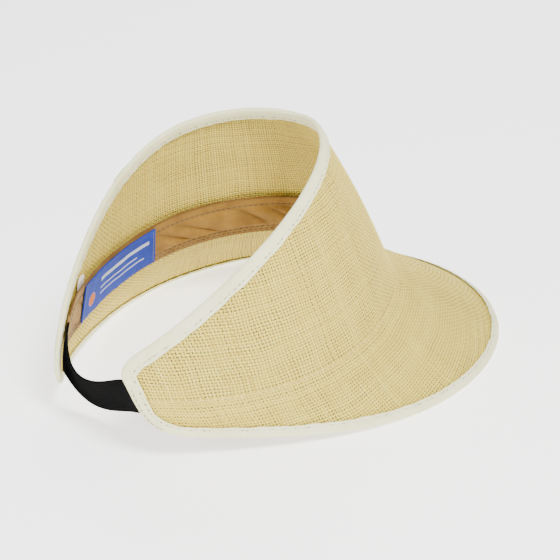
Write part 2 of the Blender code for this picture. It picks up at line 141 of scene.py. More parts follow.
BAND_STITCH_PITCH = 3.3 * MM


def by_direction(c, values):
    front, side, back = values
    return side + (front - back) / 2 * c + ((front + back) / 2 - side) * c * c


def cosine_sum(theta, terms):
    return sum(term * np.cos(k * theta) for k, term in enumerate(terms))


def angle_round_head(t, v):
    share = (v + 1) / 2
    shorter = np.where(t < 0, LEFT_RIM_SHORTER, 0.0) * t ** 4
    return t * (BRIM_END + (RIM_END - shorter - BRIM_END) * share)


def sheet(t, v):
    t = np.asarray(t, float)
    v = np.asarray(v, float)
    theta = angle_round_head(t, v)
    c = np.cos(theta)
    s = np.sin(theta)
    reach = np.where(c > 0, FRONT_REACH, BACK_REACH)
    width = HALF_WIDTH * (1 + EGG * c + PINCH * c * c)
    head = np.stack([-width * s, -reach * c - NOSE * c ** 3,
                     SADDLE * np.cos(2 * theta) + PITCH_SET * c ** 3], -1)
    slope_x = -width * c - HALF_WIDTH * s * (-EGG * s - 2 * PINCH * c * s)
    slope_y = reach * s + 3 * NOSE * c * c * s
    out = np.stack([-slope_y, slope_x, np.zeros_like(slope_x)], -1)
    out /= np.linalg.norm(out, axis=-1, keepdims=True)
    up = np.array([0.0, 0.0, 1.0])
    height = cosine_sum(theta, WALL_HEIGHT)
    run = np.where(v > 0, v * height, v * cosine_sum(theta, BRIM_WIDTH))
    soft = np.sqrt(run ** 2 + CREASE_ROUND ** 2)
    wall = (run + soft) / 2
    brim = (soft - run) / 2
    lean = by_direction(c, WALL_LEAN)[..., None]
    droop = by_direction(c, BRIM_DROOP)[..., None]
    share = np.clip(run / height, 0, 1)
    belly = WALL_BELLY * 4 * share * (1 - share) * np.clip(c, 0, 1)
    p = (head + wall[..., None] * (np.cos(lean) * up - np.sin(lean) * out)
         + brim[..., None] * (np.cos(droop) * out - np.sin(droop) * up) + belly[..., None] * out)
    ct = np.cos(REST_TILT)
    st = np.sin(REST_TILT)
    return np.stack([p[..., 0], p[..., 1] * ct + p[..., 2] * st + ORIGIN_BACK,
                     p[..., 2] * ct - p[..., 1] * st + STAND], -1)


def unit(vectors):
    return vectors / np.maximum(np.linalg.norm(vectors, axis=-1, keepdims=True), 1e-12)


def slopes(t, v):
    along = (sheet(t + FD, v) - sheet(t - FD, v)) / (2 * FD)
    across = (sheet(t, v + FD) - sheet(t, v - FD)) / (2 * FD)
    return along, across


def normals(t, v):
    along, across = slopes(t, v)
    return unit(np.cross(across, along))


def off_sheet(t, v, e):
    t, v, e = np.broadcast_arrays(np.asarray(t, float), np.asarray(v, float), np.asarray(e, float))
    return sheet(t, v) + normals(t, v) * e[..., None]


def v_at(t, distance):
    """The v of a point at a signed distance from the crease, up the wall if positive."""
    t, distance = np.broadcast_arrays(np.asarray(t, float), np.asarray(distance, float))
    v = np.sign(distance) * 0.3
    for _ in range(8):
        theta = angle_round_head(t, v)
        v = distance / np.where(distance > 0, cosine_sum(theta, WALL_HEIGHT), cosine_sum(theta, BRIM_WIDTH))
        v = np.clip(v, -4, 4)
    return v


def rim_v(t):
    u = np.clip((np.abs(t) - TOP_CORNER_T) / (1 - TOP_CORNER_T), 0, 1)
    return 1 - TOP_CORNER_V * (1 - np.sqrt(1 - u * u))


def edge_v(t):
    u = np.clip((np.abs(t) - LOW_CORNER_T) / (1 - LOW_CORNER_T), 0, 1)
    return -1 + LOW_CORNER_V * (1 - np.sqrt(1 - u * u))


def edge_loop(brim_stations, rim_stations, corner_steps, end_stations):
    """t, v stations once round the whole edge: brim left to right, right end, rim, left end."""
    turn = np.linspace(0, 1, corner_steps + 1)[1:] * np.pi / 2
    low_t = LOW_CORNER_T + (1 - LOW_CORNER_T) * np.sin(turn)
    top_t = TOP_CORNER_T + (1 - TOP_CORNER_T) * np.sin(turn)
    end_v = np.linspace(edge_v(1.0), rim_v(1.0), end_stations + 2)[1:-1]
    brim_t = np.linspace(-LOW_CORNER_T, LOW_CORNER_T, brim_stations)
    rim_t = np.linspace(TOP_CORNER_T, -TOP_CORNER_T, rim_stations)
    right = [(t, edge_v(t)) for t in low_t] + [(1.0, v) for v in end_v]
    right += [(t, rim_v(t)) for t in top_t[::-1]]
    left = [(-t, v) for t, v in right[::-1]]
    loop = [(t, -1.0) for t in brim_t] + right + [(t, 1.0) for t in rim_t] + left
    return np.array(loop).T


def end_t(v):
    """How far round the outline reaches at v: 1 on the straight part of a back end, less in its corners."""
    low = np.clip(1 - (v + 1) / LOW_CORNER_V, 0, 1)
    top = np.clip(1 - (1 - v) / TOP_CORNER_V, 0, 1)
    return np.minimum(LOW_CORNER_T + (1 - LOW_CORNER_T) * np.sqrt(1 - low * low),
                      TOP_CORNER_T + (1 - TOP_CORNER_T) * np.sqrt(1 - top * top))


def inward(t, v):
    """Change of t, v for each metre straight inwards from the edge, square to it."""
    along, across = slopes(t, v)
    here = sheet(t, v)
    tangent = unit(np.roll(here, -1, 0) - np.roll(here, 1, 0))
    square = np.cross(tangent, unit(np.cross(across, along)))
    aim = np.array([np.linalg.lstsq(np.stack([a, b], 1), m, rcond=None)[0]
                    for a, b, m in zip(along, across, square)])
    towards_middle = aim[:, 0] * (-t) * AROUND + aim[:, 1] * (-v) * BRIM_WIDTH[0]
    return aim * np.sign(towards_middle)[:, None]


def band_offset(height):
    share = np.clip(height / BAND_HEIGHT, 0, 1)
    return -(BAND_STAND_OFF[0] + (BAND_STAND_OFF[1] - BAND_STAND_OFF[0]) * share)


def band_top(t):
    rim = cosine_sum(angle_round_head(t, np.ones_like(t)), WALL_HEIGHT)
    return np.minimum(BAND_HEIGHT, rim - BAND_BELOW_RIM)


def smooth_step(x, low, high):
    x = np.clip((x - low) / (high - low), 0, 1)
    return x * x * (3 - 2 * x)


# ---- Making meshes ----
def make_piece(name, points, quads, material, node=None, slot=None, uv=None, tone=None, rim=None, sharp=None):
    """A mesh piece from points and four-cornered faces, with optional UVs and marks for each point."""
    points = np.ascontiguousarray(points, np.float32).reshape(-1, 3)
    quads = np.ascontiguousarray(quads, np.int32).reshape(-1, 4)
    mesh = bpy.data.meshes.new(name)
    mesh.vertices.add(len(points))
    mesh.vertices.foreach_set("co", points.ravel())
    mesh.loops.add(quads.size)
    mesh.loops.foreach_set("vertex_index", quads.ravel())
    mesh.polygons.add(len(quads))
    mesh.polygons.foreach_set("loop_start", np.arange(0, quads.size, 4, dtype=np.int32))
    mesh.update(calc_edges=True)
    mesh.validate()
    mesh.shade_smooth()
    if sharp is not None:
        mesh.set_sharp_from_angle(angle=sharp * DEG)
    if uv is not None:
        layer = mesh.uv_layers.new(name="cloth")
        layer.data.foreach_set("uv", np.ascontiguousarray(uv[quads.ravel()], np.float32).ravel())
    for attribute, values in (("tone", tone), ("rim", rim)):
        if values is not None:
            layer = mesh.attributes.new(attribute, "FLOAT", "POINT")
            layer.data.foreach_set("value", values.astype(np.float32))
    mesh.materials.append(material)
    piece = bpy.data.objects.new(name, mesh)
    bpy.context.scene.collection.objects.link(piece)
    if node:
        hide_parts(node)
    return piece


def ring_quads(stations, size, closed):
    """Faces between neighbouring rings of points; a closed sweep joins its last ring to its first."""
    i = np.arange(stations if closed else stations - 1)[:, None]
    k = np.arange(size)[None, :]
    j = (i + 1) % stations
    m = (k + 1) % size
    return np.stack([i * size + k, j * size + k, j * size + m, i * size + m], -1).reshape(-1, 4)


def outward(points, quads):
    """The faces of a closed piece, turned to face out of it."""
    a, b, c = (points[quads[:, k]] - points.mean(0) for k in range(3))
    volume = np.einsum("ij,ij->i", a, np.cross(b, c)).sum()
    return quads[:, ::-1] if volume < 0 else quads


def slab_quads(columns, rows):
    """Faces of a closed slab whose rings are rows of the front, then rows of the back reversed."""
    size = 2 * rows
    quads = ring_quads(columns, size, False)
    k = np.arange(rows - 1)
    first = np.stack([k, k + 1, size - 2 - k, size - 1 - k], -1)
    last = (first + (columns - 1) * size)[:, ::-1]
    return np.concatenate([quads, first, last])


def slab_piece(name, front, back, material, uv=None, **facts):
    """A closed slab between two grids of points of shape (columns, rows, 3)."""
    columns, rows = front.shape[:2]
    points = np.concatenate([front, back[:, ::-1]], 1).reshape(-1, 3)
    quads = outward(points, slab_quads(columns, rows))
    if uv is not None:
        uv = np.concatenate([uv, uv[:, ::-1]], 1).reshape(-1, 2)
    return make_piece(name, points, quads, material, uv=uv, **facts)


# ---- Materials ----
class Look:
    """A Principled material and short ways to join its nodes."""

    def __init__(self, name, colour, roughness, **sockets):
        self.material = bpy.data.materials.new(name)
        self.material.use_nodes = True
        self.tree = self.material.node_tree
        self.shader = self.tree.nodes["Principled BSDF"]
        self.shader.inputs["Base Color"].default_value = (*colour, 1.0)
        self.shader.inputs["Roughness"].default_value = roughness
        for socket, value in sockets.items():
            self.shader.inputs[socket.replace("_", " ")].default_value = value

    def node(self, kind, **inputs):
        made = self.tree.nodes.new("ShaderNode" + kind)
        for key, value in inputs.items():
            if key[0].isupper():
                socket = made.inputs[key.replace("_", " ")]
                if isinstance(value, bpy.types.NodeSocket):
                    self.tree.links.new(value, socket)
                else:
                    socket.default_value = value
            else:
                setattr(made, key, value)
        return made

    def link(self, source, target):
        self.tree.links.new(source, target)

    def attribute(self, name):
        return self.node("Attribute", attribute_name=name).outputs["Fac"]

    def stretched(self, source, scale):
        """Texture coordinates from object space or the cloth UVs, stretched by a scale."""
        if source == "uv":
            coordinates = self.node("UVMap", uv_map="cloth").outputs["UV"]
        else:
            coordinates = self.node("TexCoord").outputs["Object"]
        return self.node("Mapping", Vector=coordinates, Scale=scale).outputs["Vector"]

    def noise(self, source, scale, detail):
        vector = self.stretched(source, scale)
        return self.node("TexNoise", Vector=vector, Scale=1.0, Detail=detail, Roughness=0.55).outputs["Fac"]

    def bands(self, scale, direction):
        """Yarns across the cloth UVs, as soft bands."""
        vector = self.stretched("uv", (scale, scale, 1.0))
        return self.node("TexWave", Vector=vector, wave_type="BANDS", bands_direction=direction, Scale=1.0,
                         Distortion=1.2, Detail=2.0).outputs["Fac"]

    def ramp(self, factor, *stops):
        """Colours at positions along a factor."""
        ramp = self.node("ValToRGB", Fac=factor)
        elements = ramp.color_ramp.elements
        while len(elements) < len(stops):
            elements.new(0.5)
        for element, (position, colour) in zip(elements, stops):
            element.position = position
            element.color = (*colour, 1.0)
        return ramp.outputs["Color"]

    def mix(self, factor, a, b, blend="MIX"):
        made = self.node("Mix", data_type="RGBA", blend_type=blend)
        for socket, value in ((made.inputs[0], factor), (made.inputs[6], a), (made.inputs[7], b)):
            if isinstance(value, bpy.types.NodeSocket):
                self.tree.links.new(value, socket)
            else:
                socket.default_value = value if isinstance(value, float) else (*value, 1.0)
        return made.outputs[2]

    def math(self, operation, a, b=0.0):
        made = self.node("Math", operation=operation)
        for socket, value in zip(made.inputs, (a, b)):
            if isinstance(value, bpy.types.NodeSocket):
                self.tree.links.new(value, socket)
            else:
                socket.default_value = value
        return made.outputs[0]

    def colour(self, source):
        self.link(source, self.shader.inputs["Base Color"])

    def bump(self, height, strength, distance):
        bump = self.node("Bump", Height=height, Strength=strength, Distance=distance)
        self.link(bump.outputs["Normal"], self.shader.inputs["Normal"])

    def rough(self, factor, low, high):
        spread = self.node("MapRange", Value=factor, To_Min=low, To_Max=high)
        self.link(spread.outputs["Result"], self.shader.inputs["Roughness"])


def straw_look(name, stops, brown, strand_edge_shade=(0.36, 0.22, 0.035)):
    look = Look(name, stops[1][1], 0.5, Specular_IOR_Level=0.3, Subsurface_Weight=0.12,
                Subsurface_Scale=0.0012)
    tone = look.attribute("tone")
    fibre = look.noise("uv", (260.0, 5200.0, 1.0), 4.0)
    blotch = look.noise("object", (95.0, 95.0, 95.0), 3.0)
    mixed = look.math("ADD", look.math("MULTIPLY", fibre, 0.34), look.math("MULTIPLY", tone, 0.66))
    colour = look.ramp(mixed, *stops)
    aged = look.ramp(blotch, (0.30, brown), (0.62, (1.0, 1.0, 1.0)))
    colour = look.mix(0.3, colour, aged, "MULTIPLY")
    # painted shade: each strand is darker towards its two side edges, where it meets its neighbours
    rim = look.math("POWER", look.attribute("rim"), 2.0)
    colour = look.mix(look.math("MULTIPLY", rim, 0.80), colour, strand_edge_shade)
    look.colour(colour)
    look.rough(fibre, 0.42, 0.68)
    look.bump(fibre, 0.5, 0.00012)
    return look.material


STRAW_STOPS = ((0.20, (0.46, 0.28, 0.026)), (0.40, (0.74, 0.55, 0.078)), (0.56, (0.83, 0.67, 0.122)),
               (0.80, (0.91, 0.78, 0.215)))
straw = straw_look("toquilla_straw", STRAW_STOPS, (0.84, 0.74, 0.50))
CREASE_STOPS = ((0.20, (0.42, 0.24, 0.03)), (0.42, (0.70, 0.50, 0.10)), (0.60, (0.81, 0.64, 0.17)),
                (0.85, (0.88, 0.76, 0.28)))
crease_straw = straw_look("crease_straw", CREASE_STOPS, (0.80, 0.66, 0.45))


def cloth_look(name, dark, middle, light, roughness, thread_scale, bump, patch_scale=60.0, sheen=0.25):
    """Plain woven cloth: crossing yarns a fraction of a millimetre apart, with slow patches of tone."""
    look = Look(name, middle, roughness, Sheen_Weight=sheen, Sheen_Roughness=0.5, Specular_IOR_Level=0.25)
    yarns = look.math("MAXIMUM", *(look.bands(thread_scale, direction) for direction in "XY"))
    patches = look.noise("object", (patch_scale, patch_scale, patch_scale), 4.0)
    fluff = look.noise("object", (2200.0, 2200.0, 2200.0), 2.0)
    fine = look.math("ADD", look.math("MULTIPLY", yarns, 0.25), look.math("MULTIPLY", fluff, 0.25))
    mixed = look.math("ADD", look.math("MULTIPLY", patches, 0.6), fine)
    look.colour(look.ramp(mixed, (0.36, dark), (0.55, middle), (0.76, light)))
    look.rough(patches, roughness - 0.08, roughness + 0.06)
    look.bump(look.math("ADD", yarns, fluff), bump, 0.0002)
    return look


tape = cloth_look("binding_cotton", (0.70, 0.67, 0.33), (0.80, 0.78, 0.44), (0.87, 0.85, 0.55),
                  0.85, 780.0, 0.35, sheen=0.05)
band = cloth_look("band_cotton", (0.14, 0.066, 0.008), (0.225, 0.112, 0.015), (0.31, 0.17, 0.030),
                  0.88, 700.0, 0.45, patch_scale=85.0, sheen=0.05)
tag_cloth = cloth_look("tag_satin", (0.62, 0.50, 0.42), (0.76, 0.66, 0.58), (0.84, 0.76, 0.68),
                       0.5, 900.0, 0.2)
elastic = cloth_look("ribbed_elastic", (0.0008, 0.0008, 0.0008), (0.0015, 0.0015, 0.0015),
                     (0.004, 0.004, 0.004), 0.85, 900.0, 0.5, sheen=0.0)
elastic.shader.inputs["Specular IOR Level"].default_value = 0.03
label_cloth = cloth_look("label_weave", (0.001, 0.014, 0.20), (0.0015, 0.022, 0.29), (0.004, 0.04, 0.38),
                         0.7, 1000.0, 0.3, sheen=0.0)


def thread_look(name, dark, light, roughness=0.7):
    """Twisted sewing thread: diagonal bands round it."""
    look = Look(name, light, roughness, Sheen_Weight=0.2, Specular_IOR_Level=0.3)
    twist = look.node("TexWave", Vector=look.stretched("uv", (1900.0, 5.0, 1.0)), wave_type="BANDS",
                      bands_direction="DIAGONAL", Scale=1.0, Distortion=0.6).outputs["Fac"]
    look.colour(look.ramp(twist, (0.1, dark), (0.8, light)))
    look.bump(twist, 0.4, 0.0001)
    return look.material


cream_thread = thread_look("cream_thread", (0.52, 0.49, 0.32), (0.84, 0.83, 0.68))
brown_thread = thread_look("brown_thread", (0.05, 0.03, 0.010), (0.12, 0.075, 0.03))
label_thread = thread_look("label_thread", (0.02, 0.06, 0.25), (0.06, 0.15, 0.50))
black_thread = thread_look("black_thread", (0.006, 0.006, 0.006), (0.03, 0.03, 0.03))
# painted shade: the dark brown of the shadow in the needle holes
needle_hole_shade = thread_look("needle_hole_shade", (0.10, 0.07, 0.03), (0.19, 0.14, 0.065), 0.9)


# ---- Woven straw ----
STRAW_INSIDE_EDGE = 2.4 * MM
DRIFT = 0.55 * MM
LOOSE = 0.13                    # how much narrower the strands are where the weave is loosest
CORE_INSET = 2.0 * MM
CORE_THICK = 0.12 * MM


def drift(a, b, seed):
    """A slow wander of the weave, between about -1 and 1, for places a, b in metres."""
    waves = np.random.default_rng(seed)
    total = 0.0
    for _ in range(6):
        length = waves.uniform(18, 75) * MM
        heading = waves.uniform(0, 2 * np.pi)
        phase = waves.uniform(0, 2 * np.pi)
        total = total + np.sin((a * np.cos(heading) + b * np.sin(heading)) * 2 * np.pi / length + phase)
    return total / 3


def woven(t, d):
    """Where a crossing that should be at t and distance d from the crease really lies."""
    a = t * AROUND
    fade = smooth_step(np.abs(d), 0.5 * MM, 6 * MM)
    return t + DRIFT * drift(a, d, 11) / AROUND * fade, d + DRIFT * drift(a, d, 23) * fade


def openness(t, d):
    """Where the weave is looser, from 0 to 1."""
    a = t * AROUND
    patches = smooth_step(drift(a / 2.2, d / 2.2, 57), 0.1, 0.9) * 0.55
    front = np.exp(-((t - 0.24) / 0.15) ** 2) * np.exp(-((d - 24 * MM) / (20 * MM)) ** 2)
    bands = sum(np.exp(-((d + line) / (2.6 * MM)) ** 2) for line in (33 * MM, 45 * MM, 56 * MM))
    bands = bands * (1 - smooth_step(np.abs(t - 0.12), 0.2, 0.45))
    return np.clip(patches + 0.9 * front + 0.9 * bands, 0, 1)


def inside_edge(t, v):
    theta = angle_round_head(t, v)
    low = edge_v(t) + STRAW_INSIDE_EDGE / cosine_sum(theta, BRIM_WIDTH)
    top = rim_v(t) - STRAW_INSIDE_EDGE / cosine_sum(theta, WALL_HEIGHT)
    return (v > low) & (v < top) & (np.abs(t) < 1 - STRAW_INSIDE_EDGE / AROUND)


def lay_strands(name, t, d, lift, width, material, tones, rounder=1.0):
    """Flat strands with a lens section; every array is (strands, samples)."""
    v = v_at(t, d)
    keep = inside_edge(t, v)
    along, across = slopes(t, v)
    normal = unit(np.cross(across, along))
    middle = sheet(t, v) + normal * lift[..., None]
    run = np.gradient(middle, axis=1)
    side = unit(np.cross(run, normal))
    top = unit(np.cross(side, run))
    half = (width / 2)[..., None]
    thick = STRAND_HALF_THICK * rounder
    ring = np.stack([middle - side * half, middle - top * thick,
                     middle + side * half, middle + top * thick], 2)
    length = np.concatenate([np.zeros((len(t), 1)), np.cumsum(np.linalg.norm(run, axis=-1)[:, 1:], 1)], 1)
    points, quads, uvs, tone = [], [], [], []
    count = 0
    for strand in range(len(t)):
        kept = np.flatnonzero(keep[strand])
        if len(kept) < 4:
            continue
        a, b = kept[0], kept[-1] + 1
        n = b - a
        block = ring[strand, a:b].reshape(-1, 3)
        faces = np.concatenate([ring_quads(n, 4, False), [[0, 1, 2, 3]],
                                [[4 * n - 1, 4 * n - 2, 4 * n - 3, 4 * n - 4]]])
        points.append(block)
        quads.append(faces + count)
        u = np.repeat(length[strand, a:b], 4) + strand * 0.37
        uvs.append(np.stack([u, np.tile([0.0, 0.0005, 0.001, 0.0005], n) + strand * 0.013], 1))
        tone.append(np.full(4 * n, tones[strand]))
        count += 4 * n
    points = np.concatenate(points)
    quads = np.concatenate(quads)
    first = quads[0]
    centre = points[:4 * 2].mean(0)
    facing = np.dot(np.cross(points[first[1]] - points[first[0]], points[first[3]] - points[first[0]]),
                    points[first].mean(0) - centre)
    if facing < 0:
        quads = quads[:, ::-1]
    # the rim mark is 1 at each strand's side edges, where painted shade darkens it
    piece = make_piece(name, points, quads, material, node="straw_body", slot="straw",
                       uv=np.concatenate(uvs), tone=np.concatenate(tone),
                       rim=np.tile([1.0, 0.0], len(points) // 2))
    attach(piece, "visor")


def strand_tones(count):
    """Mostly near one pale tone, with a few much browner or lighter strands."""
    tones = random.normal(0.52, 0.055, count)
    odd = random.random(count)
    tones[odd < 0.05] -= 0.12
    tones[odd > 0.95] += 0.10
    return np.clip(tones, 0, 1)


def weave(row_distances, columns, widest_rib, end_distances):
    """Rows round the head and ribs across them, each over one and under the next."""
    low, high = end_distances
    index = np.arange(2 * len(columns) - 1)
    t = np.interp(index / 2, np.arange(len(columns)), columns)
    parity = np.where(index % 2 == 0, 1.0 - (index % 4), 0.0)
    row_jitter = random.normal(0, 0.09, len(row_distances)) * MM
    tt, dd = np.meshgrid(t, row_distances, indexing="xy")
    wandered_t, wandered_d = woven(tt, dd)
    wandered_d = wandered_d + row_jitter[:, None]
    alternate = np.where(np.arange(len(row_distances)) % 2, -1.0, 1.0)[:, None]
    row_lift = STRAND_LIFT * parity * alternate
    shape = random.normal(1.0, 0.09, (len(row_distances), 1))
    waist = 1 - 0.07 * np.abs(parity)
    row_width = ROW_PITCH * STRAND_FILL * np.clip(shape, 0.72, 1.08) * waist * (1 - LOOSE * openness(tt, dd))
    rows = (wandered_t, wandered_d, row_lift, row_width * np.ones_like(tt), strand_tones(len(row_distances)))
    distances = np.sort(row_distances)
    steps = np.interp(np.arange(2 * len(distances) - 1) / 2, np.arange(len(distances)), distances)
    steps = np.concatenate([[low], steps, [high]])
    i = np.arange(len(steps)) - 1
    row_order = np.argsort(row_distances)
    rib_parity = np.zeros(len(steps))
    on_row = (i >= 0) & (i % 2 == 0) & (i < 2 * len(distances) - 1)
    rib_parity[on_row] = np.where(row_order[i[on_row] // 2] % 2, 1.0, -1.0)
    cc, ss = np.meshgrid(columns, steps, indexing="ij")
    wandered_t, wandered_d = woven(cc, ss)
    column_jitter = random.normal(0, 0.10, len(columns)) * MM
    wandered_t = wandered_t + column_jitter[:, None] / AROUND
    column_sign = np.where(np.arange(len(columns)) % 2, -1.0, 1.0)[:, None]
    rib_lift = STRAND_LIFT * rib_parity * column_sign
    along, _ = slopes(cc, v_at(cc, ss))
    gap = np.linalg.norm(along, axis=-1) * (columns[1] - columns[0])
    shape = np.clip(random.normal(1.0, 0.09, (len(columns), 1)), 0.72, 1.08)
    rib_width = np.minimum(gap * STRAND_FILL, widest_rib) * shape * (1 - 0.07 * np.abs(rib_parity))
    rib_width = rib_width * (1 - LOOSE * openness(cc, ss))
    ribs = (wandered_t, wandered_d, rib_lift, rib_width, strand_tones(len(columns)))
    return rows, ribs


def lay(name, bundle, chosen):
    t, d, lift, width, tones = (values[chosen] for values in bundle)
    lay_strands(name, t, d, lift, width, straw, tones)


wall_rows = (np.arange(WALL_ROW_COUNT) + FIRST_WALL_ROW) * ROW_PITCH
wall_columns = np.linspace(-1, 1, int(2 * AROUND / RIB_PITCH))
rows, ribs = weave(wall_rows, wall_columns, WIDEST_WALL_RIB, (-0.5 * MM, wall_rows[-1] + ROW_PITCH))
lay("straw_wall_rows_low", rows, slice(0, LOW_WALL_ROWS))
lay("straw_wall_rows_high", rows, slice(LOW_WALL_ROWS, None))
middle_column = len(wall_columns) // 2
lay("straw_wall_ribs_left", ribs, slice(0, middle_column))
lay("straw_wall_ribs_right", ribs, slice(middle_column, None))

brim_rows = -(np.arange(BRIM_ROW_COUNT) + FIRST_BRIM_ROW) * ROW_PITCH
brim_columns = np.linspace(-1, 1, int(2 * AROUND / BRIM_RIB_PITCH))
rows, ribs = weave(brim_rows, brim_columns, WIDEST_BRIM_RIB, (brim_rows[-1] - ROW_PITCH, 0.4 * MM))
lay("straw_brim_rows_inner", rows, slice(0, INNER_BRIM_ROWS))
lay("straw_brim_rows_outer", rows, slice(INNER_BRIM_ROWS, None))
middle_column = len(brim_columns) // 2
lay("straw_brim_ribs_left", ribs, slice(0, middle_column))
lay("straw_brim_ribs_right", ribs, slice(middle_column, None))

# painted shade: a thin dark sheet between the strands' two faces, which is all that shows through the weave's
# holes, standing in for the shadow in them
hole_shade_look = straw_look("straw_hole_shade", ((0.2, (0.030, 0.018, 0.003)), (0.5, (0.060, 0.038, 0.007)),
                                      (0.8, (0.10, 0.07, 0.018))), (0.8, 0.7, 0.5))
core_turn = np.linspace(0, 1, 13)[1:] * np.pi / 2
core_end = LOW_CORNER_T + (1 - LOW_CORNER_T) * np.sin(core_turn)
core_t = np.concatenate([-core_end[::-1], np.linspace(-LOW_CORNER_T, LOW_CORNER_T, 260), core_end])
core_theta = angle_round_head(core_t, np.zeros_like(core_t))
core_low = edge_v(core_t) + CORE_INSET / cosine_sum(core_theta, BRIM_WIDTH)
rim_theta = angle_round_head(core_t, np.ones_like(core_t))
core_top = rim_v(core_t) - CORE_INSET / cosine_sum(rim_theta, WALL_HEIGHT)
core_v = np.concatenate([core_low[:, None] * np.linspace(1, 0, 31)[:-1],
                         core_top[:, None] * np.linspace(0, 1, 31)], 1)
core_t = np.broadcast_to((core_t * (1 - CORE_INSET / AROUND * 1.3))[:, None], core_v.shape)
core = slab_piece("straw_hole_shade", off_sheet(core_t, core_v, CORE_THICK / 2),
                  off_sheet(core_t, core_v, -CORE_THICK / 2), hole_shade_look,
                  uv=np.stack([core_t * AROUND, core_v * WALL_HEIGHT[0]], -1), node="straw_body",
                  slot="straw", tone=np.full(core_v.size * 2, 0.5))
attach(core, "visor")

# the crease: two thicker strands twined round each other over the ribs' ends
twine = np.linspace(-1, 1, 1400)
turns = twine * AROUND / TWINE_LAY * 2 * np.pi
strands = np.array([0.0, np.pi])[:, None] + turns[None]
twine_t = np.tile(twine, (2, 1))
lay_strands("straw_crease_twine", twine_t, -0.15 * ROW_PITCH + TWINE_SWAY * np.sin(strands),
            TWINE_RISE * np.cos(strands), np.full_like(strands, TWINE_WIDTH), crease_straw,
            np.array([0.55, 0.66]), 1.1)


# ---- Tubes: stitches, painted shade at needle holes, and loose threads ----
def tubes(name, middles, normals, radii, material, **facts):
    """Closed tubes through middles (tubes, samples, 3), radii (tubes, samples, 2) along normal and side."""
    count, samples = middles.shape[:2]
    sides = TUBE_SIDES
    run = unit(np.gradient(middles, axis=1))
    side = unit(np.cross(run, normals))
    up = np.cross(side, run)
    angle = np.arange(sides) * 2 * np.pi / sides
    ring = (middles[:, :, None] + up[:, :, None] * (np.cos(angle)[:, None] * radii[:, :, None, :1])
            + side[:, :, None] * (np.sin(angle)[:, None] * radii[:, :, None, 1:]))
    faces = ring_quads(samples, sides, False)
    caps = [[k, k + 1, sides - 2 - k, sides - 1 - k] for k in range(sides // 2 - 1)]
    last = (samples - 1) * sides
    caps += [[last + k for k in reversed(cap)] for cap in caps]
    total = samples * sides
    points = ring.reshape(-1, 3)
    faces = outward(points[:total], np.concatenate([faces, caps]))
    quads = (np.arange(count)[:, None, None] * total + faces[None]).reshape(-1, 4)
    length = np.cumsum(np.linalg.norm(np.gradient(middles, axis=1), axis=-1), 1)
    uv = np.stack([np.repeat(length, sides, 1).ravel(),
                   np.tile(np.arange(sides) / sides, count * samples)], 1)
    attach(make_piece(name, points, quads, material, uv=uv, **facts), "visor")


def stitch_line(name, t, v, e, spacing, material, node, slot, radius=0.21 * MM):
    """Stitches along a line of close stations on the sheet, with small dark pieces of painted shade at their
    needle holes; e is the cloth's face.
    """
    path = off_sheet(t, v, e)
    s = np.concatenate([[0], np.cumsum(np.linalg.norm(np.diff(path, axis=0), axis=-1))])
    number = int(s[-1] / spacing)
    centres = (np.arange(number) + 0.5) * s[-1] / number
    reach = spacing * STITCH_SHARE / 2 * (1 + 0.12 * random.standard_normal(number))
    along = np.linspace(-1, 1, 7)
    places = centres[:, None] + reach[:, None] * along
    side = np.sign(e[0])
    rise = radius * 0.55 - STITCH_SINK * np.abs(along) ** 4
    tt, vv, ee = (np.interp(places, s, values) for values in (t, v, e))
    middles = off_sheet(tt, vv, ee + side * rise)
    normal = normals(tt, vv) * side
    round_ends = radius * (1 - 0.45 * np.abs(along) ** 3)
    radii = np.broadcast_to(np.stack([round_ends * 0.8, round_ends], -1), (number, 7, 2))
    tubes(name, middles, normal, radii, material, node=node, slot=slot)
    # painted shade: small dark discs at each stitch's ends, standing in for the shadow in the needle holes
    ends = (centres[:, None] + (reach[:, None] + 0.20 * MM) * np.array([-1.0, 1.0])).ravel()
    ends = np.clip(ends, 0, s[-1])[:, None] + np.array([-0.34, -0.2, 0.2, 0.34]) * MM
    tt, vv, ee = (np.interp(ends, s, values) for values in (t, v, e))
    middles = off_sheet(tt, vv, ee + side * 0.01 * MM)
    normal = normals(tt, vv) * side
    size = np.array([0.35, 1.0, 1.0, 0.35])
    radii = np.broadcast_to(np.stack([0.06 * MM * size, 0.33 * MM * size], -1), (len(ends), 4, 2))
    tubes(name + "_holes", middles, normal, radii, needle_hole_shade, node=node, slot=slot)


# ---- The bound edge ----
TAPE_OUT = STRAW_THICK / 2 + SEWING_GAP + TAPE_THICK
TAPE_STATION = 0.9 * MM
TAPE_LAP_SLOPE = 0.002          # how much of t each end of the lap slopes over
TAPE_SEAM_FACE = 1.33 * MM      # the tape's face at its seam, from the sheet's middle
# one face of the folded tape: depth as a share of the tape's width, more depth in mm, distance out in mm
TAPE_HALF = ((0.995, 0, 1.02), (1.0, 0, 1.30), (0.965, 0, 1.52), (0.88, 0, 1.52), (0.75, 0, 1.36),
             (0.65, 0, 1.50), (0.56, 0, 1.54), (0.48, 0, 1.66), (0.40, 0, 1.55), (0.28, 0, 1.50),
             (0, 0.80, 1.34), (0, 0.22, 0.92), (0, 0.02, 0.40))
TAPE_INSIDE = ((0.97, 0, -0.96), (0, 1.20, -0.96), (0, 0.95, 0.0), (0, 1.20, 0.96), (0.97, 0, 0.96))


def even_edge(spacing):
    """The edge's t, v, inward aims and arc lengths at an even spacing round the whole loop."""
    t, v = edge_loop(420, 360, 14, 26)
    t, v = np.append(t, t[0]), np.append(v, v[0])
    s = np.concatenate([[0], np.cumsum(np.linalg.norm(np.diff(sheet(t, v), axis=0), axis=-1))])
    even = np.linspace(0, s[-1], int(s[-1] / spacing) + 1)[:-1]
    t, v = np.interp(even, s, t), np.interp(even, s, v)
    return t, v, inward(t, v), even, s[-1]


